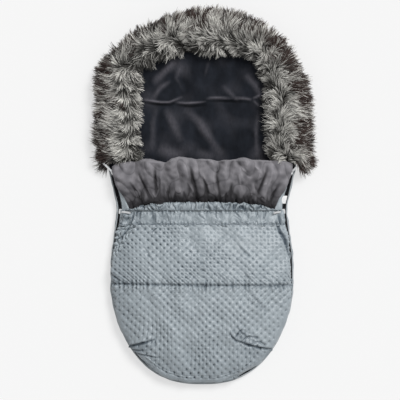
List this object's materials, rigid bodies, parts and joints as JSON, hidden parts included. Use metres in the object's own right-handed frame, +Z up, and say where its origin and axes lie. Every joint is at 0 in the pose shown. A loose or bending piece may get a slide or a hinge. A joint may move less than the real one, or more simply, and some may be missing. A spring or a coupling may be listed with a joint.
{
  "type": "winter footmuff",
  "caption": "Padded footmuff with a fur-trimmed hood end, a zipped quilted front cover and a fold-down velour collar.",
  "frame": {"origin": "on the floor under the middle of the footmuff's outline, as it lies on its back", "axes": "+Y toward the head end, +X to the footmuff's right side as seen from above with the head end up, +Z up out of the cover"},
  "size_m": [0.5924, 1.0012, 0.0847],
  "materials": {
    "quilt_satin": "satin grey-blue polyester with a small embossed quilt",
    "dark_velour": "dark graphite velour",
    "grey_velour": "mid grey velour",
    "cover_lining": "grey velour",
    "wadding": "white polyester wadding",
    "piping": "grey-blue woven piping",
    "zip_tape": "black woven tape",
    "zip_coil": "black nylon coil",
    "elastic": "white woven elastic",
    "fur": "silver grey pile with dark tips",
    "trim_backing": "knitted backing of the pile",
    "silver_metal": "plated die-cast metal",
    "tag": "blank white woven tape"
  },
  "bodies": {
    "root": {"back_outer_shell": "quilt_satin", "back_wadding": "wadding", "back_lining": "dark_velour", "edge_piping": "piping", "back_zip_tape": "zip_tape", "back_zip_coil": "zip_coil", "fur_trim_left": "fur", "fur_trim_right": "fur", "trim_backing_left": "trim_backing", "trim_backing_right": "trim_backing"},
    "hood": {"hood_outer_shell": "quilt_satin", "hood_wadding": "wadding", "hood_lining": "dark_velour", "fur_trim_hood": "fur", "trim_backing_hood": "trim_backing"},
    "foot_cover": {"foot_cover_outer": "quilt_satin", "foot_cover_wadding": "wadding", "foot_cover_lining": "cover_lining", "foot_zip_tape": "zip_tape", "foot_zip_coil": "zip_coil"},
    "body_cover": {"body_cover_outer": "quilt_satin", "body_cover_wadding": "wadding", "body_cover_lining": "cover_lining", "drawstring_band": "quilt_satin", "gathered_tunnel": "quilt_satin", "waist_elastic": "elastic", "body_zip_tape_left": "zip_tape", "body_zip_tape_right": "zip_tape", "body_zip_coil_left": "zip_coil", "body_zip_coil_right": "zip_coil"},
    "collar": {"collar_velour_top": "grey_velour", "collar_wadding": "wadding", "collar_velour_under": "grey_velour", "collar_side_strip_left": "quilt_satin", "collar_side_strip_right": "quilt_satin", "collar_zip_tape_left": "zip_tape", "collar_zip_tape_right": "zip_tape", "collar_zip_coil_left": "zip_coil", "collar_zip_coil_right": "zip_coil", "zip_top_stop_left": "silver_metal", "zip_top_stop_right": "silver_metal", "side_tag": "tag"},
    "lower_slider_left": {"slider_lower_left": "silver_metal"},
    "lower_puller_left": {"puller_lower_left": "silver_metal"},
    "lower_slider_right": {"slider_lower_right": "silver_metal"},
    "lower_puller_right": {"puller_lower_right": "silver_metal"},
    "upper_slider_left": {"slider_upper_left": "silver_metal"},
    "upper_puller_left": {"puller_upper_left": "silver_metal"},
    "upper_slider_right": {"slider_upper_right": "silver_metal"},
    "upper_puller_right": {"puller_upper_right": "silver_metal"}
  },
  "joints": [
    {"name": "hood_fold", "type": "hinge", "parent": "root", "child": "hood", "pos_m": [0, 0.258, 0.024], "axis": [1, 0, 0], "range_deg": [0, 50]},
    {"name": "foot_cover_lift", "type": "hinge", "parent": "root", "child": "foot_cover", "pos_m": [0, -0.4913, 0.0186], "axis": [1, 0, 0], "range_deg": [0, 90]},
    {"name": "body_cover_fold", "type": "hinge", "parent": "foot_cover", "child": "body_cover", "pos_m": [0, -0.235, 0.08505], "axis": [1, 0, 0], "range_deg": [0, 140]},
    {"name": "collar_fold", "type": "hinge", "parent": "body_cover", "child": "collar", "pos_m": [0, -0.017, 0.06505], "axis": [1, 0, 0], "range_deg": [0, 165]},
    {"name": "lower_slider_run_left", "type": "slide", "parent": "body_cover", "child": "lower_slider_left", "axis": [-0.1351, -0.9908, 0], "range_m": [0, 0.112]},
    {"name": "lower_puller_swing_left", "type": "hinge", "parent": "lower_slider_left", "child": "lower_puller_left", "pos_m": [-0.21669, -0.041, 0.02495], "axis": [-0.1351, -0.9908, 0], "range_deg": [0, 134]},
    {"name": "upper_slider_run_left", "type": "slide", "parent": "collar", "child": "upper_slider_left", "axis": [0.2232, -0.9748, 0], "range_m": [0, 0.05]},
    {"name": "upper_puller_swing_left", "type": "hinge", "parent": "upper_slider_left", "child": "upper_puller_left", "pos_m": [-0.23758, 0.063, 0.02495], "axis": [0.7071, 0.7071, 0], "range_deg": [0, 130]},
    {"name": "lower_slider_run_right", "type": "slide", "parent": "body_cover", "child": "lower_slider_right", "axis": [0.1351, -0.9908, 0], "range_m": [0, 0.112]},
    {"name": "lower_puller_swing_right", "type": "hinge", "parent": "lower_slider_right", "child": "lower_puller_right", "pos_m": [0.21669, -0.041, 0.02495], "axis": [-0.1351, 0.9908, 0], "range_deg": [0, 134]},
    {"name": "upper_slider_run_right", "type": "slide", "parent": "collar", "child": "upper_slider_right", "axis": [-0.2232, -0.9748, 0], "range_m": [0, 0.05]},
    {"name": "upper_puller_swing_right", "type": "hinge", "parent": "upper_slider_right", "child": "upper_puller_right", "pos_m": [0.23758, 0.063, 0.02495], "axis": [0.7071, -0.7071, 0], "range_deg": [0, 130]}
  ]
}
